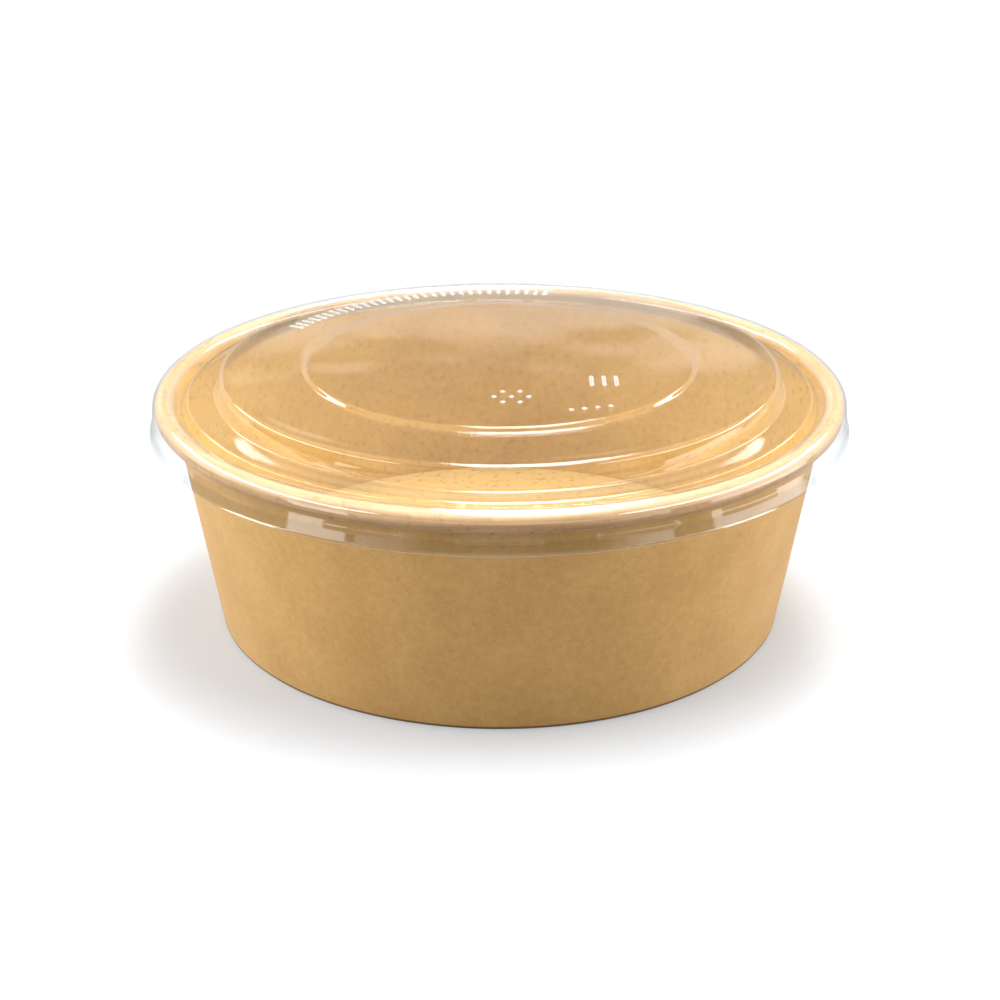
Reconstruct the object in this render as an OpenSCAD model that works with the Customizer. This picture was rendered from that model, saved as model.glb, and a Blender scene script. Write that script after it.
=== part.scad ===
// Kraft salad bowl with a clear push-fit lid.
// The bowl is a paperboard cone with a curled rim and a recessed bottom, the lid is one
// formed sheet. Everything is turned about the Z axis and the foot stands on z = 0.

/* [Bowl] */
// Height of the paper bowl from the table to the top of the curled rim
bowl_h = 63.05; // [45:0.05:90]
// Outer diameter of the curled rim
rim_d = 183.6; // [174:0.1:220]
// Outer diameter of the cone where it stands on the table
foot_d = 154; // [130:0.5:162]
// Thickness of the paperboard
board_t = 0.4; // [0.3:0.05:0.6]
// Outer diameter of the rolled curl seen in section
curl_d = 5.2; // [4:0.1:7]

/* [Bottom] */
// Height of the underside of the bottom disc above the table
recess_h = 6.5; // [4:0.5:12]
// Distance from the bottom disc down to the top of the turned-in strip of cone
hem_drop = 0.9; // [0.8:0.1:2]
// Play between the bottom flange and the turned-in strip
hem_gap = 0.05; // [0.02:0.01:0.15]

/* [Side seam] */
// Width of the glued overlap of the cone, measured round the foot
seam_w = 9; // [5:0.5:15]
// Distance from the top of the overlap up to the curl
seam_drop = 1.8; // [0.5:0.1:20]

/* [Lid sheet] */
// Thickness of the clear sheet
film_t = 0.3; // [0.2:0.05:0.5]
// Clearance between the lid and the widest line of the curl
lid_gap = 0.3; // [0.2:0.05:0.6]
// Clearance between the lid and the top of the curl
lid_top_gap = 0.5; // [0.3:0.05:1]
// Clearance between the groove of the lid and the inside of the bowl
plug_gap = 0.4; // [0.2:0.05:1]

/* [Lid dome] */
// Height of the flat top of the dome above the rim
dome_h = 5.45; // [3:0.05:15]
// Slope of the dome wall away from the vertical
dome_draft = 11; // [3:1:30]
// Width of the valley from the foot of the dome to the groove
valley_w = 7.75; // [4:0.05:15]
// Drop from the rim to the valley
valley_drop = 0.6; // [0:0.05:1.5]
// Width of the flat ring between the dome wall and the raised disc
ledge_w = 22.8; // [8:0.1:50]
// Height of the raised disc above the flat ring
disc_h = 1.15; // [0.5:0.05:3]

/* [Lid edge] */
// Width of the sealing groove at its bottom, between the middles of its walls
groove_w = 2; // [1.6:0.1:5]
// How far the groove reaches below the widest line of the curl
groove_sink = 1.1; // [0.8:0.1:3]
// How far the pinch of the lid lies below the widest line of the curl
pinch_sink = 2; // [1.6:0.1:3]
// Height of the skirt below the pinch
skirt_h = 4.8; // [4:0.1:9]
// How far the skirt stands out beyond the pinch
skirt_out = 0.85; // [0.5:0.05:2]

/* [Lid lugs] */
// Width of a stacking lug that bridges the groove, in degrees
lug_angle = 2; // [1.5:0.1:5]
// Drop from the valley to the top of a stacking lug
lug_drop = 0.5; // [0.3:0.1:1]
// Number of snap beads pressed into the skirt
snap_count = 18; // [6:1:24]
// Width of a snap bead in degrees
snap_angle = 11.8; // [4:0.2:14]
// Height of a snap bead
snap_h = 1.1; // [1:0.1:2.5]

/* [Hidden] */
$fn = 72;
half_t = board_t / 2;
curl_r = curl_d / 2;
curl_mid = curl_r - half_t; // radius of the middle of the board in the curl
rim_r = rim_d / 2;
curl_c = [rim_r - curl_r, bowl_h - curl_r]; // centre of the curl in the section

// The middle of the cone starts at the foot and runs tangent into the curl.
foot_mid = [foot_d / 2 - half_t, half_t];
to_curl = curl_c - foot_mid;
cone_angle = atan2(to_curl[0], to_curl[1]) - asin(curl_mid / norm(to_curl));
cone_slope = tan(cone_angle);
cone_lean = 1 / cos(cone_angle); // horizontal thickness of the board for one across it

// Radius of the middle of the cone at a height
function cone_mid(z) = foot_mid[0] + (z - foot_mid[1]) * cone_slope;
// Radius of the inside face of the cone at a height
function cone_in(z) = cone_mid(z) - half_t * cone_lean;

fold_r = half_t + 0.08; // bend at the folded foot, in the middle of the board
disc_bend = 0.9; // bend between the bottom disc and its flange
flange_z = board_t + 0.25; // lower edge of the bottom flange
hem_z = recess_h - hem_drop; // top of the turned-in strip
hem_shift = (board_t * 2 + hem_gap) * cone_lean; // cone to turned-in strip, middle to middle
curl_turn = 395; // degrees of board in the curl
tuck_from = 225; // where the tail starts to roll in under the board
tuck_over = 90; // degrees over which it does so
tuck_gap = 0.1; // play between the tail and the board outside it
seam_taper = 3; // height over which the overlap runs out at its top

half_f = film_t / 2;
plug_r = cone_in(curl_c[1]) - plug_gap - half_f; // outer wall of the groove
drop_r = rim_r + lid_gap + half_f; // wall just outside the curl
arch_r = (drop_r - plug_r) / 2; // bend of the arch over the curl
arch_z = bowl_h + lid_top_gap + half_f;
spring_z = arch_z - arch_r; // where the arch springs, close to the widest line of the curl
plate_z = bowl_h + dome_h - half_f;
disc_z = plate_z + disc_h;
valley_z = bowl_h - valley_drop - half_f;
valley_rise = 0.4; // the valley climbs by this much towards the groove
groove_z = spring_z - groove_sink;
groove_lean = 0.5; // the dome side of the groove leans out by this much
groove_taper = 0.1; // and its outer side by this much
groove_bend = 0.6; // bends at the bottom of the groove
valley_r = plug_r - groove_taper - groove_w - groove_lean; // groove side of the valley
dome_foot = valley_r - valley_w;
dome_r = dome_foot - (plate_z - valley_z) * tan(dome_draft);
disc_r = dome_r - ledge_w;
disc_run = 0.9; // the edge of the disc slopes over this distance
pinch_z = spring_z - pinch_sink;
skirt_z = pinch_z - skirt_h;
skirt_r = drop_r + skirt_out;
lip_out = 0.3; // flared lower edge of the skirt
lip_h = 0.5;
lug_at = [12, 31, 84, 96, 149, 168, 264, 276]; // directions of the stacking lugs
snap_first = 10; // direction of the first snap bead
snap_step = 0.3; // the beads start this far below the pinch

// Middle of the sheet from the axis to the edge, as radius, height and bend
film_path = [
    [0, disc_z, 0],
    [disc_r, disc_z, 0.9],
    [disc_r + disc_run, plate_z, 0.7],
    [dome_r, plate_z, 1.5],
    [dome_foot, valley_z, 0.8],
    [valley_r, valley_z + valley_rise, 0.9],
    [valley_r + groove_lean, groove_z, groove_bend],
    [plug_r - groove_taper, groove_z, groove_bend],
    [plug_r, arch_z, arch_r - 0.06],
    [drop_r, arch_z, arch_r - 0.06],
    [drop_r, pinch_z, 0.5],
    [skirt_r, skirt_z + lip_h, 0.3],
    [skirt_r + lip_out, skirt_z + half_f * 0.5, 0]
];

// Middle of the board from the turned-in strip round the foot and up to the curl
curl_start = curl_c + curl_mid * [-cos(cone_angle), sin(cone_angle)];
wall_path = [
    [cone_mid(hem_z) - hem_shift, hem_z, 0],
    [cone_mid(half_t) - hem_shift, half_t, fold_r],
    [cone_mid(half_t), half_t, fold_r],
    [curl_start[0], curl_start[1], 0]
];

// Middle of the bottom board from the axis to the edge of its flange
base_mid_z = recess_h + half_t;
function flange_r(z) = cone_mid(z) - board_t * cone_lean;
base_path = [
    [0, base_mid_z, 0],
    [flange_r(base_mid_z), base_mid_z, disc_bend],
    [flange_r(flange_z), flange_z, 0]
];

function flat(p) = [p[0], p[1]];
function unit(v) = v / norm(v);
function left(v) = [-v[1], v[0]];
function cross2(a, b) = a[0] * b[1] - a[1] * b[0];

// Points of one bend: the corner b between a and c, rounded by the radius in b
function bend(a, b, c, step) =
    let (
        u = unit(flat(b) - flat(a)),
        w = unit(flat(c) - flat(b)),
        turn = atan2(cross2(u, w), u * w),
        side = sign(turn),
        r = b[2],
        start = flat(b) - u * r * tan(abs(turn) / 2),
        centre = start + side * r * left(u),
        n = max(2, ceil(abs(turn) / step))
    )
    r == 0 || abs(turn) < 1
        ? [flat(b)]
        : [for (i = [0:n])
            let (a0 = turn * i / n, v = -side * r * left(u))
            centre + [v[0] * cos(a0) - v[1] * sin(a0), v[0] * sin(a0) + v[1] * cos(a0)]];

// A path with all its bends rounded
function rounded(path, step) = [
    for (i = [0:len(path) - 1])
        each (i == 0 || i == len(path) - 1
            ? [flat(path[i])]
            : bend(path[i - 1], path[i], path[i + 1], step))
];

// The same path moved sideways, with square ends
function shifted(pts, d) = [
    for (i = [0:len(pts) - 1])
        let (
            u = unit(pts[max(i, 1)] - pts[max(i, 1) - 1]),
            w = unit(pts[min(i + 1, len(pts) - 1)] - pts[min(i + 1, len(pts) - 1) - 1]),
            m = unit(left(u) + left(w))
        )
        pts[i] + m * d / (m * left(u))
];

// Radius of the middle of the skirt at a height
function skirt_mid(z) = drop_r + skirt_out * (pinch_z - z) / (skirt_h - lip_h);

function reversed(pts) = [for (i = [len(pts) - 1:-1:0]) pts[i]];

// Sheet of thickness t along a path
module sheet(pts, t) {
    polygon(concat(shifted(pts, t / 2), reversed(shifted(pts, -t / 2))));
}

// The curl from where it leaves the cone to its tucked-in tail
function curl_points(step) =
    let (n = ceil(curl_turn / step))
    [for (i = [1:n])
        let (
            done = curl_turn * i / n,
            a = 180 - cone_angle - done,
            tuck = min(1, max(0, done - tuck_from) / tuck_over),
            r = curl_mid - (board_t + tuck_gap) * tuck
        )
        curl_c + r * [cos(a), sin(a)]];

module bowl_wall() {
    color("burlywood") {
        rotate_extrude()
            sheet(concat(rounded(wall_path, 15), curl_points(10)), board_t);
        side_seam();
    }
}

// The outer layer of the glued overlap at the back
module side_seam() {
    span = seam_w / (foot_d / 2) * 180 / PI;
    low = fold_r + board_t;
    top = curl_c[1] - curl_r - seam_drop;
    face = cone_in(0) + board_t * cone_lean;
    rotate_extrude(angle = span, start = 90 - span / 2)
        polygon([
            [face - half_t + low * cone_slope, low],
            [face + board_t * cone_lean + low * cone_slope, low],
            [face + board_t * cone_lean + (top - seam_taper) * cone_slope, top - seam_taper],
            [face + top * cone_slope, top],
            [face - half_t + top * cone_slope, top]
        ]);
}

module bowl_base() {
    color("tan")
        rotate_extrude()
            sheet(rounded(base_path, 15), board_t);
}

// Stacking lugs: the groove is lifted over a short length, so nested lids come apart
module lugs(hollow) {
    top = valley_z + valley_rise - lug_drop;
    play = hollow ? half_f + 0.02 : 0;
    wall = hollow ? film_t / valley_r * 180 / PI : 0;
    low = groove_z - (hollow ? 1 : half_f);
    high = top - (hollow ? film_t : 0);
    inner = valley_r + play;
    outer = plug_r - groove_taper / 2 - play;
    span = lug_angle - 2 * wall;
    for (at = lug_at)
        rotate_extrude(angle = span, start = at - span / 2)
            polygon([[inner + groove_lean, low], [outer, low], [outer, high], [inner, high]]);
}

// Snap beads: the skirt is pressed in over a short length, to catch under the curl
module snaps(hollow) {
    wall = hollow ? film_t / skirt_r * 180 / PI : 0;
    top = pinch_z - snap_step - (hollow ? film_t : 0);
    low = pinch_z - snap_step - snap_h + (hollow ? film_t : 0);
    face = hollow ? drop_r + half_f : drop_r - half_f;
    span = snap_angle - 2 * wall;
    for (i = [0:snap_count - 1])
        rotate_extrude(angle = span, start = snap_first + i * 360 / snap_count - span / 2)
            polygon([
                [face, low],
                [hollow ? skirt_r + 1 : skirt_mid(low), low],
                [hollow ? skirt_r + 1 : skirt_mid(top), top],
                [face, top]
            ]);
}

module lid() {
    color("whitesmoke", 0.4)
        difference() {
            union() {
                rotate_extrude()
                    sheet(rounded(film_path, 15), film_t);
                lugs(false);
                snaps(false);
            }
            lugs(true);
            snaps(true);
        }
}

// Which node to draw, or all of them

bowl_wall();
bowl_base();
lid();
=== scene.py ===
import math

import bpy
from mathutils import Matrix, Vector, noise


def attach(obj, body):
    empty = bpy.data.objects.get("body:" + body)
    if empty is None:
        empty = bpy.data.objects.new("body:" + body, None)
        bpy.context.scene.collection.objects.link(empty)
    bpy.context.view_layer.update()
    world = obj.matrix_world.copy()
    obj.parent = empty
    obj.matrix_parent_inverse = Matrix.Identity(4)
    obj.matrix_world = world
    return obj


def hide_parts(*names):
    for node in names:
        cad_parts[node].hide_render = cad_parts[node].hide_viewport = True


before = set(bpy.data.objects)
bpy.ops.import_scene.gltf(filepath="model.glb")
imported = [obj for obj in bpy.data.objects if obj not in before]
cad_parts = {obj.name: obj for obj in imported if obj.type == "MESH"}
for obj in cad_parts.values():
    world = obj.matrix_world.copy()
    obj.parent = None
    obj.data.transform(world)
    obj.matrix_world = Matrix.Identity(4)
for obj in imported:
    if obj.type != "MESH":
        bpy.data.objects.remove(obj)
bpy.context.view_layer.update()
print("frame loaded")

mm = 0.001
scene = bpy.context.scene

# the paper bowl: sizes in millimetres, the same as in the part's source
board = {
    "bowlHeight": 63.05,   # table to the top of the curl
    "rimWidth": 183.6,
    "footWidth": 154.0,
    "thickness": 0.4,
    "curlWidth": 5.2,      # diameter of the curl in section
    "curlTurn": 395,       # degrees of board in the curl
    "tuckFrom": 225,       # where the tail starts to roll in
    "tuckOver": 90,
    "tuckGap": 0.1,
    "recess": 6.5,         # table to the underside of the bottom
    "hemDrop": 0.9,        # bottom disc to the top of the turned-in strip
    "hemGap": 0.05,
    "foldExtra": 0.08,
    "discBend": 0.9,
    "flangeLift": 0.25,
    "seamWidth": 9.0,      # glued overlap at the back
    "seamDrop": 1.8,
    "seamTaper": 3.0,
    "seamEdge": 0.12,      # degrees over which the overlap rises
    "wander": 0.1,         # how far the board strays from a true cone
    "sag": 0.18,           # and the bottom from flat
}

halfBoard = board["thickness"] / 2
curlRadius = board["curlWidth"] / 2
curlMiddle = curlRadius - halfBoard
rimRadius = board["rimWidth"] / 2
curlCentre = Vector((rimRadius - curlRadius, board["bowlHeight"] - curlRadius))
footMiddle = Vector((board["footWidth"] / 2 - halfBoard, halfBoard))
toCurl = curlCentre - footMiddle
coneAngle = math.atan2(toCurl.x, toCurl.y) - math.asin(curlMiddle / toCurl.length)
coneSlope = math.tan(coneAngle)
coneLean = 1 / math.cos(coneAngle)


def coneMiddle(z):
    return footMiddle.x + (z - footMiddle.y) * coneSlope


def coneInside(z):
    return coneMiddle(z) - halfBoard * coneLean


def smooth(t):
    t = min(1.0, max(0.0, t))
    return t * t * (3 - 2 * t)


# a path is radius and height along the middle of a sheet, and each corner carries its bend
def bendPoints(before, corner, after, step):
    a, b, c = (Vector(p[:2]) for p in (before, corner, after))
    u = (b - a).normalized()
    w = (c - b).normalized()
    turn = math.atan2(u.x * w.y - u.y * w.x, u.dot(w))
    radius = corner[2]
    if radius == 0 or abs(turn) < math.radians(1):
        return [b]
    side = 1 if turn > 0 else -1
    left = Vector((-u.y, u.x))
    start = b - u * radius * math.tan(abs(turn) / 2)
    centre = start + left * side * radius
    arm = left * -side * radius
    count = max(3, math.ceil(abs(math.degrees(turn)) / step))
    points = []
    for i in range(count + 1):
        t = turn * i / count
        points.append(centre + Vector((
            arm.x * math.cos(t) - arm.y * math.sin(t),
            arm.x * math.sin(t) + arm.y * math.cos(t),
        )))
    return points


def roundedPath(corners, step=12.0):
    points = [Vector(corners[0][:2])]
    for i in range(1, len(corners) - 1):
        points += bendPoints(corners[i - 1], corners[i], corners[i + 1], step)
    return points + [Vector(corners[-1][:2])]


# long straights get rings of their own, so that they can wander
def fillStraights(points, spacing):
    filled = [points[0]]
    for p in points[1:]:
        start = filled[-1].copy()
        count = max(1, math.ceil((p - start).length / spacing(start, p)))
        filled += [start.lerp(p, k / count) for k in range(1, count + 1)]
    return filled


def shiftedPath(points, distance):
    shifted = []
    last = len(points) - 1
    for i, p in enumerate(points):
        u = (points[max(i, 1)] - points[max(i, 1) - 1]).normalized()
        ahead = min(i + 1, last)
        w = (points[ahead] - points[ahead - 1]).normalized()
        leftOfU = Vector((-u.y, u.x))
        middle = (leftOfU + Vector((-w.y, w.x))).normalized()
        shifted.append(p + middle * distance / middle.dot(leftOfU))
    return shifted


# turns a sheet round the axis: slot 0 left of the path, 1 right of it, 2 its edges, 3 the roll
def turnSheet(name, path, thickness, angles, shift=None, rollFrom=None):
    rows = []
    for side in (1, -1):
        points = shiftedPath(path, side * thickness / 2)
        order = range(len(path)) if side == 1 else range(len(path) - 1, -1, -1)
        rows += [(points[i], path[i], i, side) for i in order]
    lengths = [0.0]
    for a, b in zip(path, path[1:]):
        lengths.append(lengths[-1] + (b - a).length)
    verts, grid = [], []
    for point, middle, i, side in rows:
        if point.x < 1e-6:
            lift = shift(middle, 0.0, side, i).y if shift else 0.0
            grid.append([len(verts)] * len(angles))
            verts.append((0.0, 0.0, (point.y + lift) * mm))
            continue
        ring = []
        for angle in angles:
            move = shift(middle, angle, side, i) if shift else Vector((0, 0))
            r = (point.x + move.x) * mm
            ring.append(len(verts))
            verts.append((r * math.cos(angle), r * math.sin(angle), (point.y + move.y) * mm))
        grid.append(ring)
    faces, slots, wraps = [], [], []
    reach = max(p.x for p in path) * mm
    total = len(rows)
    around = len(angles)
    for k in range(total):
        nextRow = (k + 1) % total
        sameSide = rows[k][3] == rows[nextRow][3]
        if not sameSide and rows[k][0].x < 1e-6:
            continue
        slot = 2 if not sameSide else (0 if rows[k][3] == 1 else 1)
        if slot == 0 and rollFrom and min(rows[k][2], rows[nextRow][2]) >= rollFrom:
            slot = 3
        v0 = lengths[rows[k][2]] * mm
        v1 = lengths[rows[nextRow][2]] * mm
        for j in range(around):
            n = (j + 1) % around
            corner = [grid[k][j], grid[nextRow][j], grid[nextRow][n], grid[k][n]]
            u0 = angles[j] * reach
            u1 = (angles[n] + (2 * math.pi if n == 0 else 0)) * reach
            wrap = [(u0, v0), (u0, v1), (u1, v1), (u1, v0)]
            kept = [i for i in range(4) if corner[i] != corner[i - 1]]
            faces.append([corner[i] for i in kept])
            wraps += [wrap[i] for i in kept]
            slots.append(slot)
    return meshPiece(name, verts, faces, slots, wraps)


def meshPiece(name, verts, faces, slots=None, wraps=None, sharpAbove=40):
    mesh = bpy.data.meshes.new(name)
    mesh.from_pydata(verts, [], faces)
    mesh.polygons.foreach_set("use_smooth", [True] * len(faces))
    if slots:
        mesh.polygons.foreach_set("material_index", slots)
    if wraps:
        layer = mesh.uv_layers.new(name="wrap")
        layer.data.foreach_set("uv", [c for uv in wraps for c in uv])
    mesh.set_sharp_from_angle(angle=math.radians(sharpAbove))
    mesh.update()
    piece = bpy.data.objects.new(name, mesh)
    scene.collection.objects.link(piece)
    return piece


def ringAngles(count, features=()):
    angles = {round(2 * math.pi * i / count, 6) for i in range(count)}
    for centre, half, soft in features:
        for edge in (-half - soft, -half, -half + soft, half - soft, half, half + soft):
            angles.add(round(math.radians(centre + edge) % (2 * math.pi), 6))
    ordered = sorted(angles)
    kept = [ordered[0]]
    for a in ordered[1:]:
        if a - kept[-1] > 0.0009:
            kept.append(a)
    return kept


# how far inside a feature an angle lies, from 0 outside to 1 well in
def inside(angle, centre, half, soft):
    away = abs((math.degrees(angle) - centre + 180) % 360 - 180)
    return smooth((half + soft - away) / (2 * soft))


def waveAt(angle, z, size, seed):
    spot = Vector((math.cos(angle) * size, math.sin(angle) * size, z / 40 + seed))
    return noise.noise(spot)


# the board of the bowl: one sheet from the turned-in strip, round the foot, up and into the curl
def makeWall():
    hemTop = board["recess"] - board["hemDrop"]
    hemShift = (board["thickness"] * 2 + board["hemGap"]) * coneLean
    fold = halfBoard + board["foldExtra"]
    arm = Vector((-math.cos(coneAngle), math.sin(coneAngle))) * curlMiddle
    curlStart = curlCentre + arm
    path = roundedPath([
        (coneMiddle(hemTop) - hemShift, hemTop, 0),
        (coneMiddle(halfBoard) - hemShift, halfBoard, fold),
        (coneMiddle(halfBoard), halfBoard, fold),
        (curlStart.x, curlStart.y, 0),
    ])
    path = fillStraights(path, lambda a, b: 3.0)
    coneEnd = len(path) - 1
    steps = 48
    for i in range(1, steps + 1):
        done = board["curlTurn"] * i / steps
        angle = math.pi - coneAngle - math.radians(done)
        tuck = min(1, max(0, done - board["tuckFrom"]) / board["tuckOver"])
        r = curlMiddle - (board["thickness"] + board["tuckGap"]) * tuck
        path.append(curlCentre + Vector((math.cos(angle), math.sin(angle))) * r)
    coneStart = next(i for i, p in enumerate(path) if i > 6 and p.y > 1 and p.x > coneMiddle(0))
    seamHalf = math.degrees(board["seamWidth"] / board["footWidth"])
    seamTop = curlCentre.y - curlRadius - board["seamDrop"]

    def shift(middle, angle, side, i):
        stray = board["wander"] * waveAt(angle, middle.y, 2.2, 3.0)
        stray += board["wander"] * 0.5 * waveAt(angle, middle.y * 1.5, 7.0, 9.0)
        if side == -1 and coneStart <= i <= coneEnd:
            rise = min(1, max(0, (seamTop - middle.y) / board["seamTaper"]))
            over = inside(angle, 90, seamHalf, board["seamEdge"])
            stray += board["thickness"] * coneLean * rise * over
        return Vector((stray, 0))

    angles = ringAngles(240, [(90, seamHalf, board["seamEdge"])])
    wall = turnSheet("paperWall", path, board["thickness"], angles, shift, coneEnd)
    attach(wall, "bowl")
    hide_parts("bowl_wall")
    return wall


def makeBottom():
    z = board["recess"] + halfBoard
    flange = board["thickness"] + board["flangeLift"]

    def edge(height):
        return coneMiddle(height) - board["thickness"] * coneLean

    path = roundedPath([(0, z, 0), (edge(z), z, board["discBend"]), (edge(flange), flange, 0)])
    path = fillStraights(path, lambda a, b: 4.0)

    def shift(middle, angle, side, i):
        fade = smooth((70 - middle.x) / 20)
        spot = Vector((middle.x * math.cos(angle), middle.x * math.sin(angle), 5)) / 34
        return Vector((0, fade * board["sag"] * noise.noise(spot)))

    bottom = turnSheet("paperBottom", path, board["thickness"], ringAngles(180), shift)
    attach(bottom, "bowl")
    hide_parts("bowl_base")
    return bottom


# the lid: clear sheet pressed from one piece, sizes in millimetres
film = {
    "thickness": 0.3,
    "sideGap": 0.3,
    "topGap": 0.5,
    "plugGap": 0.4,
    "domeHeight": 5.45,
    "domeDraft": 11.0,
    "valleyWidth": 7.75,
    "valleyDrop": 0.6,
    "valleyRise": 0.4,
    "ledgeWidth": 22.8,
    "discHeight": 1.15,
    "discRun": 0.9,
    "grooveWidth": 2.0,
    "grooveSink": 1.1,
    "grooveLean": 0.5,
    "grooveTaper": 0.1,
    "grooveBend": 0.6,
    "pinchSink": 2.0,
    "skirtHeight": 4.8,
    "skirtOut": 0.85,
    "lipOut": 0.3,
    "lipHeight": 0.5,
    "discBend": 0.9,       # rounding of the corners of the section
    "stepBend": 0.7,
    "domeBend": 1.5,
    "valleyBend": 0.8,
    "grooveTopBend": 0.9,
    "pinchBend": 0.5,
    "lipBend": 0.3,
    "lugsAt": [12, 31, 84, 96, 149, 168, 264, 276],     # degrees, 0 at the right, 90 at the back
    "lugWidth": 2.0,       # degrees
    "lugEdge": 0.3,        # degrees over which its side rises
    "lugDrop": 0.5,
    "snapCount": 18,
    "snapFirst": 10.0,     # degrees
    "snapWidth": 11.8,
    "snapEdge": 0.35,
    "snapStep": 0.0,       # from the pinch down to the top of a bead
    "snapHeight": 1.4,
    "ripple": 0.16,        # unevenness of the flat top
}

halfFilm = film["thickness"] / 2
plugRadius = coneInside(curlCentre.y) - film["plugGap"] - halfFilm
dropRadius = rimRadius + film["sideGap"] + halfFilm
archRadius = (dropRadius - plugRadius) / 2
archTop = board["bowlHeight"] + film["topGap"] + halfFilm
springLine = archTop - archRadius
plateTop = board["bowlHeight"] + film["domeHeight"] - halfFilm
discTop = plateTop + film["discHeight"]
valleyTop = board["bowlHeight"] - film["valleyDrop"] - halfFilm
grooveFloor = springLine - film["grooveSink"]
valleyRadius = plugRadius - film["grooveTaper"] - film["grooveWidth"] - film["grooveLean"]
domeFoot = valleyRadius - film["valleyWidth"]
domeRadius = domeFoot - (plateTop - valleyTop) * math.tan(math.radians(film["domeDraft"]))
discRadius = domeRadius - film["ledgeWidth"]
pinchLine = springLine - film["pinchSink"]
skirtFoot = pinchLine - film["skirtHeight"]
skirtRadius = dropRadius + film["skirtOut"]


def makeLid():
    archBend = archRadius - 0.06
    path = roundedPath([
        (0, discTop, 0),
        (discRadius, discTop, film["discBend"]),
        (discRadius + film["discRun"], plateTop, film["stepBend"]),
        (domeRadius, plateTop, film["domeBend"]),
        (domeFoot, valleyTop, film["valleyBend"]),
        (valleyRadius, valleyTop + film["valleyRise"], film["grooveTopBend"]),
        (valleyRadius + film["grooveLean"], grooveFloor, film["grooveBend"]),
        (plugRadius - film["grooveTaper"], grooveFloor, film["grooveBend"]),
        (plugRadius, archTop, archBend),
        (dropRadius, archTop, archBend),
        (dropRadius, pinchLine, film["pinchBend"]),
        (skirtRadius, skirtFoot + film["lipHeight"], film["lipBend"]),
        (skirtRadius + film["lipOut"], skirtFoot + halfFilm * 0.5, 0),
    ])

    # close rings where the beads are pressed
    def ringSpacing(a, b):
        return 0.45 if a.x > dropRadius - 0.1 and a.y < springLine else 2.6

    path = fillStraights(path, ringSpacing)
    lugTop = valleyTop + film["valleyRise"] - film["lugDrop"]
    snapTop = pinchLine - film["snapStep"]
    snapFoot = snapTop - film["snapHeight"]
    lugHalf = film["lugWidth"] / 2
    snapHalf = film["snapWidth"] / 2
    snapPitch = 360 / film["snapCount"]

    def shift(middle, angle, side, i):
        r, z = middle
        x, y = r * math.cos(angle), r * math.sin(angle)
        move = Vector((0.0, 0.0))
        if r < domeFoot:
            broad = noise.noise(Vector((x / 38, y / 30, 2.5)))
            small = noise.noise(Vector((x / 15, y / 15, 7.5)))
            move.y -= film["ripple"] * (1 + broad + 0.35 * small) * smooth((domeFoot - r) / 6)
        if valleyRadius - 0.2 < r < plugRadius + 0.1 and z < lugTop:
            lift = max(inside(angle, at, lugHalf, film["lugEdge"]) for at in film["lugsAt"])
            move.y += lift * (lugTop - z) * 0.86
        if r > dropRadius - 0.05 and z < snapTop + 0.3:
            nearest = round((math.degrees(angle) - film["snapFirst"]) / snapPitch) * snapPitch
            nearest += film["snapFirst"]
            press = inside(angle, nearest, snapHalf, film["snapEdge"])
            press *= smooth((z - snapFoot + 0.2) / 0.4)
            move.x -= press * max(0, r - dropRadius)
        return move

    features = [(at, lugHalf, film["lugEdge"]) for at in film["lugsAt"]]
    for i in range(film["snapCount"]):
        features.append((film["snapFirst"] + i * snapPitch, snapHalf, film["snapEdge"]))
    lid = turnSheet("clearLid", path, film["thickness"], ringAngles(180, features), shift)
    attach(lid, "lid")
    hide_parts("lid")
    return lid


# low rounded ribs and pips pressed into the top, where such lids carry their mould marks
marks = {
    "height": 0.34,
    "thickness": 0.12,
    "sink": 0.02,
    "ribLength": 4.6,
    "ribWidth": 1.2,
    "ribFrom": 78,         # degrees round the ledge
    "ribTo": 152,
    "ribRadius": 65.0,
    "ribCount": 31,
    "pip": 1.5,
    "ringCentre": (3.0, -30.5),
    "ringRadius": 4.4,
    "ringPips": 6,
    "barCentre": (27.0, -18.5),
    "barLength": 7.5,
    "barPitch": 3.2,
    "rowCentre": (22.8, -38.6),
    "rowPips": 4,
    "rowPitch": 3.3,
}


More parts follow.
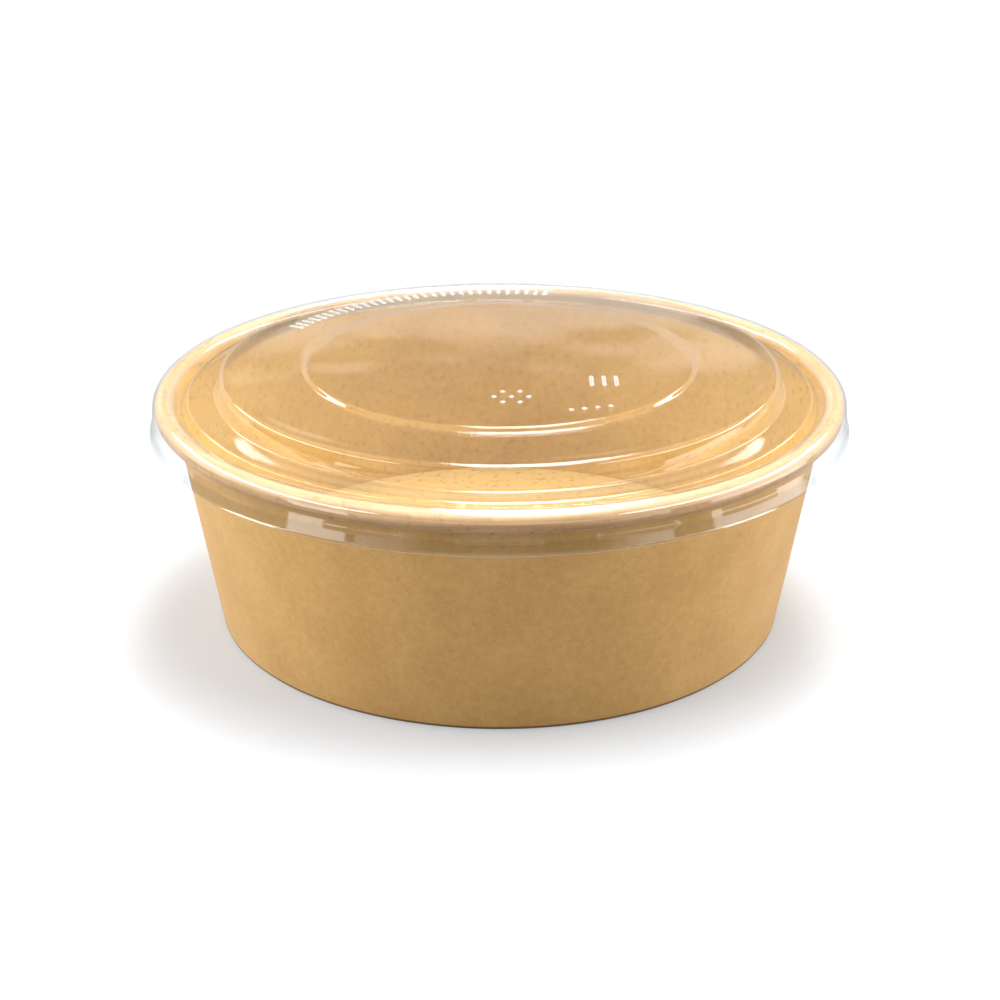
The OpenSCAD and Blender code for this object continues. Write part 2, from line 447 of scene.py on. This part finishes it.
def makeMarks():
    verts, faces = [], []
    around, steps = 20, 5

    def bulge(t, reach, height):
        return (max(reach * math.cos(t * math.pi / 2), 0.02), height * math.sin(t * math.pi / 2))

    # one hollow bead: the rows climb the outside to the crown and come down the inside
    def addBead(centre, heading, length, width, level):
        ux, uy = math.cos(heading), math.sin(heading)
        straight = max(0.0, length - width) / 2
        skin = marks["thickness"]
        rows = [(width / 2, -marks["sink"])]
        rows += [bulge(k / steps, width / 2, marks["height"]) for k in range(steps + 1)]
        reach, height = width / 2 - skin, marks["height"] - skin
        rows += [bulge(1 - k / steps, reach, height) for k in range(steps + 1)]
        rows.append((reach, -marks["sink"]))
        base = len(verts)
        for out, z in rows:
            for j in range(around):
                a = 2 * math.pi * (j + 0.5) / around
                s = math.cos(a) * out + math.copysign(straight, math.cos(a))
                t = math.sin(a) * out
                verts.append((
                    (centre[0] + ux * s - uy * t) * mm,
                    (centre[1] + uy * s + ux * t) * mm,
                    (level + z) * mm,
                ))
        for k in range(len(rows)):
            a = base + k * around
            b = base + (k + 1) % len(rows) * around
            for j in range(around):
                n = (j + 1) % around
                faces.append([a + j, a + n, b + n, b + j])

    ledge = plateTop + halfFilm - film["ripple"]
    disc = discTop + halfFilm - film["ripple"]
    for i in range(marks["ribCount"]):
        t = marks["ribFrom"] + (marks["ribTo"] - marks["ribFrom"]) * i / (marks["ribCount"] - 1)
        t = math.radians(t)
        r = marks["ribRadius"]
        addBead((r * math.cos(t), r * math.sin(t)), t, marks["ribLength"], marks["ribWidth"], ledge)
    for i in range(marks["ringPips"]):
        t = 2 * math.pi * i / marks["ringPips"]
        spot = (
            marks["ringCentre"][0] + marks["ringRadius"] * math.cos(t),
            marks["ringCentre"][1] + marks["ringRadius"] * math.sin(t),
        )
        addBead(spot, 0, marks["pip"], marks["pip"], disc)
    addBead(marks["ringCentre"], 0, marks["pip"], marks["pip"], disc)
    for i in (-1, 0, 1):
        spot = (marks["barCentre"][0] + i * marks["barPitch"], marks["barCentre"][1])
        addBead(spot, math.pi / 2, marks["barLength"], marks["ribWidth"], disc)
    for i in range(marks["rowPips"]):
        along = (i - (marks["rowPips"] - 1) / 2) * marks["rowPitch"]
        spot = (marks["rowCentre"][0] + along, marks["rowCentre"][1] + along * 0.28)
        addBead(spot, 0, marks["pip"], marks["pip"], disc)
    piece = meshPiece("lidMarks", verts, faces, sharpAbove=70)
    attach(piece, "lid")
    return piece


# node helpers for the materials
def newMaterial(name):
    material = bpy.data.materials.new(name)
    material.use_nodes = True
    nodes = material.node_tree.nodes
    nodes.clear()
    return material, nodes, material.node_tree.links


def noiseNode(nodes, links, vector, scale, detail=3.0, roughness=0.55):
    node = nodes.new("ShaderNodeTexNoise")
    node.inputs["Scale"].default_value = scale
    node.inputs["Detail"].default_value = detail
    node.inputs["Roughness"].default_value = roughness
    links.new(vector, node.inputs["Vector"])
    return node.outputs["Fac"]


def stretched(nodes, links, vector, scale, turn=0.0):
    node = nodes.new("ShaderNodeMapping")
    node.inputs["Scale"].default_value = scale
    node.inputs["Rotation"].default_value = (0, 0, turn)
    links.new(vector, node.inputs["Vector"])
    return node.outputs["Vector"]


def rangeNode(nodes, links, value, low, high, toLow=0.0, toHigh=1.0):
    node = nodes.new("ShaderNodeMapRange")
    node.inputs["From Min"].default_value = low
    node.inputs["From Max"].default_value = high
    node.inputs["To Min"].default_value = toLow
    node.inputs["To Max"].default_value = toHigh
    links.new(value, node.inputs["Value"])
    return node.outputs["Result"]


def mixColour(nodes, links, factor, first, second, blend="MIX"):
    node = nodes.new("ShaderNodeMix")
    node.data_type = "RGBA"
    node.blend_type = blend
    sockets = {
        "factor": node.inputs[0],
        "a": node.inputs[6],
        "b": node.inputs[7],
    }
    for key, value in (("factor", factor), ("a", first), ("b", second)):
        if isinstance(value, bpy.types.NodeSocket):
            links.new(value, sockets[key])
        elif key == "factor":
            sockets[key].default_value = value
        else:
            sockets[key].default_value = (*value, 1)
    return node.outputs[2]


def mathNode(nodes, links, operation, first, second):
    node = nodes.new("ShaderNodeMath")
    node.operation = operation
    for socket, value in zip(node.inputs, (first, second)):
        if isinstance(value, bpy.types.NodeSocket):
            links.new(value, socket)
        else:
            socket.default_value = value
    return node.outputs[0]


# brown kraft board: cloudy pulp, short fibres both ways, dark and pale flecks; painted shadow along
# the foot, painted shade on the bottom
kraft = {
    "light": (0.56, 0.335, 0.113),
    "dark": (0.45, 0.252, 0.071),
    "fibre": (0.66, 0.42, 0.19),
    "fleck": (0.26, 0.13, 0.04),
    "outsideRoughness": 0.62,
    "coatedRoughness": 0.3,
    "coatedWarmth": (1.05, 1.18, 1.26),
    "edge": (0.62, 0.46, 0.28),
    "rollLight": (0.53, 0.34, 0.18),
    "rollDark": (0.41, 0.24, 0.105),
    "sheen": 0.16,
    # painted shade: the bottom is made darker than the rest of the coated board, to balance the top
    # lamp
    "bottomShade": (0.8, 0.8, 0.82),
    "foot": (0.17, 0.09, 0.032),       # painted shadow: dark along the fold it stands on
    "footHeight": 0.00065,             # how high the painted shadow reaches, in metres above the table
    "cloudSize": 55,                   # the larger, the finer
    "pulpSize": 420,
    "fineSize": 2300,
    "fleckSize": 330,
    "paleFibres": 0.45,
    "fleckStrength": 0.3,
    "relief": 0.06,                    # millimetres
}


def kraftMaterial(name, coated=False, cut=False, roll=False, paintedShade=None, foot=False):
    material, nodes, links = newMaterial(name)
    wrap = nodes.new("ShaderNodeUVMap")
    wrap.uv_map = "wrap"
    uv = wrap.outputs["UV"]
    cloud = noiseNode(nodes, links, uv, kraft["cloudSize"], 3.0)
    pulp = noiseNode(nodes, links, uv, kraft["pulpSize"], 4.0, 0.65)
    across = noiseNode(nodes, links, stretched(nodes, links, uv, (420, 1900, 1)), 1.0, 3.0, 0.6)
    slanted = stretched(nodes, links, uv, (1700, 480, 1), 0.5)
    along = noiseNode(nodes, links, slanted, 1.0, 3.0, 0.6)
    fibres = mathNode(nodes, links, "MAXIMUM", across, along)
    fine = noiseNode(nodes, links, uv, kraft["fineSize"], 2.0, 0.7)
    cloudy = mathNode(nodes, links, "MULTIPLY", cloud, 0.3)
    body = mathNode(nodes, links, "ADD", cloudy, mathNode(nodes, links, "MULTIPLY", pulp, 0.35))
    body = mathNode(nodes, links, "ADD", body, mathNode(nodes, links, "MULTIPLY", fine, 0.35))
    if roll:
        drawn = stretched(nodes, links, uv, (45, 1100, 1))
        streaks = noiseNode(nodes, links, drawn, 1.0, 4.0, 0.6)
        weak = mathNode(nodes, links, "MULTIPLY", body, 0.4)
        body = mathNode(nodes, links, "ADD", weak, mathNode(nodes, links, "MULTIPLY", streaks, 0.6))
    shade = rangeNode(nodes, links, body, 0.4, 0.6)
    dark = kraft["rollDark"] if roll else kraft["dark"]
    light = kraft["rollLight"] if roll else kraft["light"]
    colour = mixColour(nodes, links, shade, dark, light)
    pale = rangeNode(nodes, links, fibres, 0.62, 0.76, 0.0, 0.2 if roll else kraft["paleFibres"])
    colour = mixColour(nodes, links, pale, colour, kraft["fibre"])
    cells = nodes.new("ShaderNodeTexVoronoi")
    cells.inputs["Scale"].default_value = kraft["fleckSize"]
    links.new(stretched(nodes, links, uv, (1, 0.6, 1), 0.7), cells.inputs["Vector"])
    dots = rangeNode(nodes, links, cells.outputs["Distance"], 0.16, 0.08)
    some = rangeNode(nodes, links, noiseNode(nodes, links, uv, 150, 2.0), 0.5, 0.6)
    flecks = mathNode(nodes, links, "MULTIPLY", dots, some)
    flecks = mathNode(nodes, links, "MULTIPLY", flecks, kraft["fleckStrength"])
    colour = mixColour(nodes, links, flecks, colour, kraft["fleck"])
    if coated:
        colour = mixColour(nodes, links, 1.0, colour, kraft["coatedWarmth"], "MULTIPLY")
    # painted shade, where given: the colour is darkened
    if paintedShade:
        colour = mixColour(nodes, links, 1.0, colour, paintedShade, "MULTIPLY")
    if cut:
        colour = mixColour(nodes, links, 0.6, colour, kraft["edge"])
    # painted shadow: the board goes nearly black just above the table, as contact shade along the
    # fold
    if foot:
        place = nodes.new("ShaderNodeTexCoord")
        parts = nodes.new("ShaderNodeSeparateXYZ")
        links.new(place.outputs["Object"], parts.inputs[0])
        top = kraft["footHeight"]
        footShadowMask = rangeNode(nodes, links, parts.outputs["Z"], top * 1.3, top)
        colour = mixColour(nodes, links, footShadowMask, colour, kraft["foot"])
    shader = nodes.new("ShaderNodeBsdfPrincipled")
    shader.inputs["Specular IOR Level"].default_value = 0.5 if coated or roll else 0.35
    shader.inputs["Sheen Weight"].default_value = 0.0 if coated or roll else kraft["sheen"]
    shader.inputs["Sheen Roughness"].default_value = 0.5
    links.new(colour, shader.inputs["Base Color"])
    middle = kraft["coatedRoughness"] if coated or roll else kraft["outsideRoughness"]
    gloss = rangeNode(nodes, links, pulp, 0.3, 0.7, middle - 0.06, middle + 0.09)
    links.new(gloss, shader.inputs["Roughness"])
    bump = nodes.new("ShaderNodeBump")
    bump.inputs["Strength"].default_value = 0.25 if coated or roll else 0.5
    bump.inputs["Distance"].default_value = kraft["relief"] * mm
    grain = mathNode(nodes, links, "ADD", fibres, mathNode(nodes, links, "MULTIPLY", pulp, 0.7))
    links.new(grain, bump.inputs["Height"])
    links.new(bump.outputs["Normal"], shader.inputs["Normal"])
    out = nodes.new("ShaderNodeOutputMaterial")
    links.new(shader.outputs["BSDF"], out.inputs["Surface"])
    return material


# clear polyester sheet, so thin that it bends nothing: each face lets light through and mirrors some
clear = {
    "ior": 1.57,
    "tint": (0.975, 0.98, 0.98),       # let through by one face
    "tintThin": (0.99, 0.99, 0.99),    # where the sheet was drawn thinner
    "tintSlant": (0.62, 0.64, 0.66),   # where it is seen nearly edge-on
    "skirtShade": (0.915, 0.92, 0.925), # painted shade: the skirt lets less through, to the camera and to the lamps, for the shadow under the curl
    "skirtTop": 0.0575,                # metres above the table
    "gloss": (0.97, 0.98, 1.0),
    "roughness": 0.025,
    "haze": 0.06,
    "shade": (0.985, 0.985, 0.985),    # let through to what lies behind, by one face
    "cut": (0.92, 0.93, 0.93),
    "markFrost": 0.13,
}


def clearMaterial(name, inner=False, frost=0.0):
    material, nodes, links = newMaterial(name)
    place = nodes.new("ShaderNodeTexCoord")
    drawn = noiseNode(nodes, links, place.outputs["Object"], 60, 3.0)
    thin = rangeNode(nodes, links, drawn, 0.35, 0.65)
    tint = mixColour(nodes, links, thin, clear["tint"], clear["tintThin"])
    parts = nodes.new("ShaderNodeSeparateXYZ")
    links.new(place.outputs["Object"], parts.inputs[0])
    top = clear["skirtTop"]
    low = rangeNode(nodes, links, parts.outputs["Z"], top, top - 0.001)
    # painted shade on the skirt, in what it shows and in the light it passes
    skirtShading = mixColour(nodes, links, low, (1, 1, 1), clear["skirtShade"])
    tint = mixColour(nodes, links, 1.0, tint, skirtShading, "MULTIPLY")
    shade = mixColour(nodes, links, 1.0, skirtShading, clear["shade"], "MULTIPLY")
    facing = nodes.new("ShaderNodeLayerWeight")
    facing.inputs["Blend"].default_value = 0.5
    slant = rangeNode(nodes, links, facing.outputs["Facing"], 0.85, 0.98)
    slant = mathNode(nodes, links, "MULTIPLY", slant, low)
    tint = mixColour(nodes, links, slant, tint, clear["tintSlant"])
    face = nodes.new("ShaderNodeNewGeometry")
    ior = clear["ior"]
    bend = rangeNode(nodes, links, face.outputs["Backfacing"], 0, 1, ior, 1 / ior)
    mirror = nodes.new("ShaderNodeFresnel")
    links.new(bend, mirror.inputs["IOR"])
    path = nodes.new("ShaderNodeLightPath")
    lit = nodes.new("ShaderNodeBsdfTransparent")
    passed = mixColour(nodes, links, mirror.outputs[0], shade, (0, 0, 0))
    links.new(passed, lit.inputs["Color"])
    if inner:
        seen = nodes.new("ShaderNodeBsdfRefraction")
        seen.inputs["IOR"].default_value = 1.0
        seen.inputs["Roughness"].default_value = 0.0
    else:
        seen = nodes.new("ShaderNodeBsdfTransparent")
    links.new(tint, seen.inputs["Color"])
    shine = nodes.new("ShaderNodeBsdfGlossy")
    shine.inputs["Color"].default_value = (*clear["gloss"], 1)
    roughness = rangeNode(nodes, links, drawn, 0.4, 0.75, clear["roughness"], clear["haze"])
    links.new(roughness, shine.inputs["Roughness"])
    surface = nodes.new("ShaderNodeMixShader")
    links.new(mirror.outputs[0], surface.inputs[0])
    links.new(seen.outputs["BSDF"], surface.inputs[1])
    links.new(shine.outputs["BSDF"], surface.inputs[2])
    if frost:
        scatter = nodes.new("ShaderNodeBsdfDiffuse")
        scatter.inputs["Color"].default_value = (*clear["cut"], 1)
        frosted = nodes.new("ShaderNodeMixShader")
        frosted.inputs[0].default_value = frost
        links.new(surface.outputs["Shader"], frosted.inputs[1])
        links.new(scatter.outputs["BSDF"], frosted.inputs[2])
        surface = frosted
    mix = nodes.new("ShaderNodeMixShader")
    links.new(path.outputs["Is Shadow Ray"], mix.inputs[0])
    links.new(surface.outputs["Shader"], mix.inputs[1])
    links.new(lit.outputs["BSDF"], mix.inputs[2])
    out = nodes.new("ShaderNodeOutputMaterial")
    links.new(mix.outputs["Shader"], out.inputs["Surface"])
    return material


# the sheared edge of the sheet is frosted and catches the light
def cutSheetMaterial(name):
    material, nodes, links = newMaterial(name)
    place = nodes.new("ShaderNodeTexCoord")
    grain = noiseNode(nodes, links, place.outputs["Object"], 900, 2.0)
    frost = nodes.new("ShaderNodeBsdfDiffuse")
    frost.inputs["Color"].default_value = (*clear["cut"], 1)
    through = nodes.new("ShaderNodeBsdfTransparent")
    mix = nodes.new("ShaderNodeMixShader")
    links.new(rangeNode(nodes, links, grain, 0.3, 0.7, 0.55, 0.85), mix.inputs[0])
    links.new(through.outputs["BSDF"], mix.inputs[1])
    links.new(frost.outputs["BSDF"], mix.inputs[2])
    out = nodes.new("ShaderNodeOutputMaterial")
    links.new(mix.outputs["Shader"], out.inputs["Surface"])
    return material


wall = makeWall()
bottom = makeBottom()
print("paper pieces made")
lid = makeLid()
lidMarks = makeMarks()
print("lid made")

# the outside of the board, with painted shadow along the fold it stands on
kraftOutside = kraftMaterial("kraftOutside", foot=True)
# the bottom: coated board darkened with painted shade
kraftBottom = kraftMaterial("kraftBottom", coated=True, paintedShade=kraft["bottomShade"])
kraftCoated = kraftMaterial("kraftCoated", coated=True)
kraftCut = kraftMaterial("kraftCut", cut=True)
kraftRoll = kraftMaterial("kraftRoll", roll=True)
clearTop = clearMaterial("clearTop")
clearInside = clearMaterial("clearInside", inner=True)
clearCut = cutSheetMaterial("clearCut")
clearMarks = clearMaterial("clearMarks", frost=clear["markFrost"])
for material in (kraftCoated, kraftOutside, kraftCut, kraftRoll):
    wall.data.materials.append(material)
for material in (kraftBottom, kraftOutside, kraftCut):
    bottom.data.materials.append(material)
for material in (clearTop, clearInside, clearCut):
    lid.data.materials.append(material)
lidMarks.data.materials.append(clearMarks)
plainMaterials = {
    "bowl_wall": kraftOutside,
    "bowl_base": kraftOutside,
    "lid": clearTop,
}
for nodeName, material in plainMaterials.items():
    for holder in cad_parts[nodeName].material_slots:
        holder.material = material
print("materials set")


# pale floor that goes to white away from the bowl, and keeps its shadow
stage = {
    "floorSize": 6.0,
    "floorColour": (0.515, 0.53, 0.545),
    "floorBounce": (0.31, 0.3, 0.285),
    "shadowFrom": 0.16,    # the shadow starts to fade at this distance, in metres
    "shadowTo": 0.4,
    "lift": (0.12, 0.125, 0.135),
    "ambientFront": 0.24,
    "ambientBack": 0.6,
    "ambientSide": 1.3,    # added towards the sides
    "floorNear": 0.15,     # what gloss sees of the table before the bowl
    "floorFar": 0.6,       # and beside and behind it
    "lowBack": 0.64,       # what gloss sees low behind the bowl
    "lowTop": 0.32,        # up to this height of the direction
    "lowSide": 0.64,       # low down at its sides
    "strip": 7.2,          # and in a narrow strip over those
    "above": 0.88,         # and high over it
    "frontHigh": 0.72,     # over the camera
    "lowFront": 0.72,      # and low behind the cards
    "dark": 0.24,          # and elsewhere between the lamps
    "cardDark": 0.05,
    "cardRadius": 0.27,    # cards round the front, which only gloss sees
    "cardHeight": 0.056,
}


# 1 for what the camera sees, also in gloss and through the sheet, but never for light on paper
def seenDirectly(nodes, links):
    path = nodes.new("ShaderNodeLightPath")
    seen = path.outputs["Is Camera Ray"]
    seen = mathNode(nodes, links, "MAXIMUM", seen, path.outputs["Is Glossy Ray"])
    seen = mathNode(nodes, links, "MAXIMUM", seen, path.outputs["Is Transmission Ray"])
    straight = mathNode(nodes, links, "LESS_THAN", path.outputs["Diffuse Depth"], 0.5)
    return mathNode(nodes, links, "MULTIPLY", seen, straight)


# 1 for what is seen as a reflection, also one from inside the clear sheet
def mirrored(nodes, links):
    path = nodes.new("ShaderNodeLightPath")
    return mathNode(nodes, links, "GREATER_THAN", path.outputs["Glossy Depth"], 0.5)


def makeFloor():
    half = stage["floorSize"] / 2
    steps = 12
    verts = []
    for j in range(steps + 1):
        for i in range(steps + 1):
            verts.append((-half + 2 * half * i / steps, -half + 2 * half * j / steps, 0))
    row = steps + 1
    faces = [
        [j * row + i, j * row + i + 1, (j + 1) * row + i + 1, (j + 1) * row + i]
        for j in range(steps) for i in range(steps)
    ]
    floor = meshPiece("floor", verts, faces)
    material, nodes, links = newMaterial("floorPaper")
    diffuse = nodes.new("ShaderNodeBsdfDiffuse")
    diffuse.inputs["Color"].default_value = (*stage["floorColour"], 1)
    bounce = nodes.new("ShaderNodeBsdfDiffuse")
    bounce.inputs["Color"].default_value = (*stage["floorBounce"], 1)
    glow = nodes.new("ShaderNodeEmission")
    glow.inputs["Color"].default_value = (*stage["lift"], 1)
    lifted = nodes.new("ShaderNodeAddShader")
    links.new(diffuse.outputs[0], lifted.inputs[0])
    links.new(glow.outputs[0], lifted.inputs[1])
    white = nodes.new("ShaderNodeEmission")
    place = nodes.new("ShaderNodeTexCoord")
    distance = nodes.new("ShaderNodeVectorMath")
    distance.operation = "LENGTH"
    links.new(place.outputs["Object"], distance.inputs[0])
    fromBowl = distance.outputs["Value"]
    away = rangeNode(nodes, links, fromBowl, stage["shadowFrom"], stage["shadowTo"])
    shown = nodes.new("ShaderNodeMixShader")
    links.new(away, shown.inputs[0])
    links.new(lifted.outputs[0], shown.inputs[1])
    links.new(white.outputs[0], shown.inputs[2])
    parts = nodes.new("ShaderNodeSeparateXYZ")
    links.new(place.outputs["Object"], parts.inputs[0])
    table = nodes.new("ShaderNodeEmission")
    depth = parts.outputs["Y"]
    level = rangeNode(nodes, links, depth, -0.06, 0.06, stage["floorNear"], stage["floorFar"])
    links.new(level, table.inputs["Strength"])
    glimpsed = nodes.new("ShaderNodeMixShader")
    links.new(mirrored(nodes, links), glimpsed.inputs[0])
    links.new(shown.outputs[0], glimpsed.inputs[1])
    links.new(table.outputs[0], glimpsed.inputs[2])
    mix = nodes.new("ShaderNodeMixShader")
    links.new(seenDirectly(nodes, links), mix.inputs[0])
    links.new(bounce.outputs[0], mix.inputs[1])
    links.new(glimpsed.outputs[0], mix.inputs[2])
    out = nodes.new("ShaderNodeOutputMaterial")
    links.new(mix.outputs[0], out.inputs["Surface"])
    floor.data.materials.append(material)


# a direction runs from -1 to 1: x to the right, y away from the camera, z up
def makeWorld():
    world = bpy.data.worlds.new("studio")
    world.use_nodes = True
    scene.world = world
    nodes, links = world.node_tree.nodes, world.node_tree.links
    nodes.clear()
    place = nodes.new("ShaderNodeTexCoord")
    parts = nodes.new("ShaderNodeSeparateXYZ")
    links.new(place.outputs["Generated"], parts.inputs[0])
    height, depth = parts.outputs["Z"], parts.outputs["Y"]
    behind = rangeNode(nodes, links, depth, 0.1, 0.4, 0.0, stage["lowBack"])
    low = rangeNode(nodes, links, height, stage["lowTop"] + 0.015, stage["lowTop"] - 0.015)
    back = mathNode(nodes, links, "MULTIPLY", low, behind)
    across = mathNode(nodes, links, "ABSOLUTE", parts.outputs["X"], 0)
    side = rangeNode(nodes, links, across, 0.22, 0.42, 0.0, stage["lowSide"])
    side = mathNode(nodes, links, "MULTIPLY", side, rangeNode(nodes, links, depth, -0.3, 0.1))
    side = mathNode(nodes, links, "MULTIPLY", side, rangeNode(nodes, links, height, 0.5, 0.3))
    strip = rangeNode(nodes, links, across, 0.55, 0.62, 0.0, stage["strip"])
    strip = mathNode(nodes, links, "MULTIPLY", strip, rangeNode(nodes, links, height, 0.37, 0.39))
    strip = mathNode(nodes, links, "MULTIPLY", strip, rangeNode(nodes, links, height, 0.52, 0.5))
    side = mathNode(nodes, links, "MAXIMUM", side, strip)
    above = rangeNode(nodes, links, height, 0.45, 0.75, stage["dark"], stage["above"])
    front = rangeNode(nodes, links, depth, -0.25, -0.45, 0.0, stage["frontHigh"])
    front = mathNode(nodes, links, "MULTIPLY", front, rangeNode(nodes, links, height, 0.5, 0.6))
    above = mathNode(nodes, links, "MAXIMUM", above, front)
    ahead = rangeNode(nodes, links, depth, -0.3, -0.6, 0.0, stage["lowFront"])
    ahead = mathNode(nodes, links, "MULTIPLY", ahead, rangeNode(nodes, links, height, 0.3, 0.15))
    above = mathNode(nodes, links, "MAXIMUM", above, ahead)
    level = mathNode(nodes, links, "MAXIMUM", back, side)
    level = mathNode(nodes, links, "MAXIMUM", level, above)
    straight = mathNode(nodes, links, "SUBTRACT", 1, mirrored(nodes, links))
    level = mathNode(nodes, links, "MAXIMUM", level, straight)
    shown = nodes.new("ShaderNodeBackground")
    shown.inputs["Color"].default_value = (1, 1, 1, 1)
    links.new(level, shown.inputs["Strength"])
    soft = nodes.new("ShaderNodeBackground")
    soft.inputs["Color"].default_value = (1, 1, 1, 1)
    dim, full = stage["ambientFront"], stage["ambientBack"]
    fill = rangeNode(nodes, links, depth, -0.6, 0.6, dim, full)
    wide = rangeNode(nodes, links, across, 0.3, 0.9, 0.0, stage["ambientSide"])
    links.new(mathNode(nodes, links, "ADD", fill, wide), soft.inputs["Strength"])
    mix = nodes.new("ShaderNodeMixShader")
    links.new(seenDirectly(nodes, links), mix.inputs[0])
    links.new(soft.outputs[0], mix.inputs[1])
    links.new(shown.outputs[0], mix.inputs[2])
    out = nodes.new("ShaderNodeOutputWorld")
    links.new(mix.outputs[0], out.inputs["Surface"])


# degrees to the right of the camera: each fades in over the first two, out over the next two,
# and the last is its brightness
cardPatches = [
    (-56.5, -55.5, -39.5, -38.5, 2.6),
    (-36.5, -36.0, -34.0, -18.0, 0.9),
    (27.0, 42.0, 43.8, 44.8, 1.6),
    (56.0, 57.0, 90.0, 98.0, 2.3),
]


# cards standing round the front: dark ones, and pale ones that show as patches in the skirt
def makeCards():
    around, half = 96, 100
    reach = stage["cardRadius"]
    verts = []
    for z in (0.001, stage["cardHeight"]):
        for i in range(around + 1):
            a = math.radians(-90 - half + 2 * half * i / around)
            verts.append((reach * math.cos(a), reach * math.sin(a), z))
    row = around + 1
    faces = [[i, i + 1, row + i + 1, row + i] for i in range(around)]
    cards = meshPiece("frontCards", verts, faces)
    cards.visible_camera = False
    cards.visible_diffuse = False
    cards.visible_shadow = False
    cards.visible_volume_scatter = False
    material, nodes, links = newMaterial("cardPaper")
    place = nodes.new("ShaderNodeTexCoord")
    parts = nodes.new("ShaderNodeSeparateXYZ")
    links.new(place.outputs["Object"], parts.inputs[0])
    forward = mathNode(nodes, links, "MULTIPLY", parts.outputs["Y"], -1)
    turn = mathNode(nodes, links, "ARCTAN2", parts.outputs["X"], forward)
    turn = mathNode(nodes, links, "MULTIPLY", turn, 180 / math.pi)
    level = stage["cardDark"]
    for start, full, stop, end, value in cardPatches:
        rise = rangeNode(nodes, links, turn, start, full, 0, value)
        fall = rangeNode(nodes, links, turn, stop, end, 1, 0)
        level = mathNode(nodes, links, "ADD", mathNode(nodes, links, "MULTIPLY", rise, fall), level)
    glow = nodes.new("ShaderNodeEmission")
    links.new(level, glow.inputs["Strength"])
    through = nodes.new("ShaderNodeBsdfTransparent")
    mix = nodes.new("ShaderNodeMixShader")
    links.new(mirrored(nodes, links), mix.inputs[0])
    links.new(through.outputs[0], mix.inputs[1])
    links.new(glow.outputs[0], mix.inputs[2])
    out = nodes.new("ShaderNodeOutputMaterial")
    links.new(mix.outputs[0], out.inputs["Surface"])
    cards.data.materials.append(material)


# the broad side lamps light the paper only: gloss sees the strips of the world in their place
lamps = {
    "top": {
        "at": (0.08, 0.25, 0.85),
        "aim": (0.08, 0.25, 0),
        "size": (0.36, 0.9),
        "power": 12.0,
        "inGloss": True,
    },
    "left": {
        "at": (-0.85, -0.1, 0.42),
        "aim": (0, 0, 0.04),
        "size": (1.0, 0.9),
        "power": 10.8,
        "inGloss": False,
    },
    "right": {
        "at": (0.9, -0.03, 0.42),
        "aim": (0, 0, 0.04),
        "size": (1.0, 0.9),
        "power": 9.4,
        "inGloss": False,
    },
}


def makeLamps():
    for name, lamp in lamps.items():
        light = bpy.data.lights.new(name, "AREA")
        light.shape = "RECTANGLE"
        light.size, light.size_y = lamp["size"]
        light.energy = lamp["power"]
        holder = bpy.data.objects.new(name, light)
        holder.location = lamp["at"]
        heading = Vector(lamp["aim"]) - Vector(lamp["at"])
        holder.rotation_euler = heading.to_track_quat("-Z", "Y").to_euler()
        holder.visible_glossy = lamp["inGloss"]
        scene.collection.objects.link(holder)


# fitted to the rings of the rim, foot and lid in the photograph
view = {
    "at": (0, -0.48377, 0.23355),
    "aim": (0, 0, 0.0322),
    "lens": 68.578,
    "shift": (0.0004, -0.01332),
}


def makeCamera():
    lens = bpy.data.cameras.new("camera")
    lens.lens = view["lens"]
    lens.sensor_width = 36
    lens.shift_x, lens.shift_y = view["shift"]
    lens.clip_start = 0.01
    camera = bpy.data.objects.new("camera", lens)
    camera.location = view["at"]
    heading = Vector(view["aim"]) - Vector(view["at"])
    camera.rotation_euler = heading.to_track_quat("-Z", "Y").to_euler()
    scene.collection.objects.link(camera)
    scene.camera = camera


makeFloor()
makeWorld()
makeCards()
makeLamps()
makeCamera()
scene.view_settings.view_transform = "Standard"
print("stage, lamps and camera set")
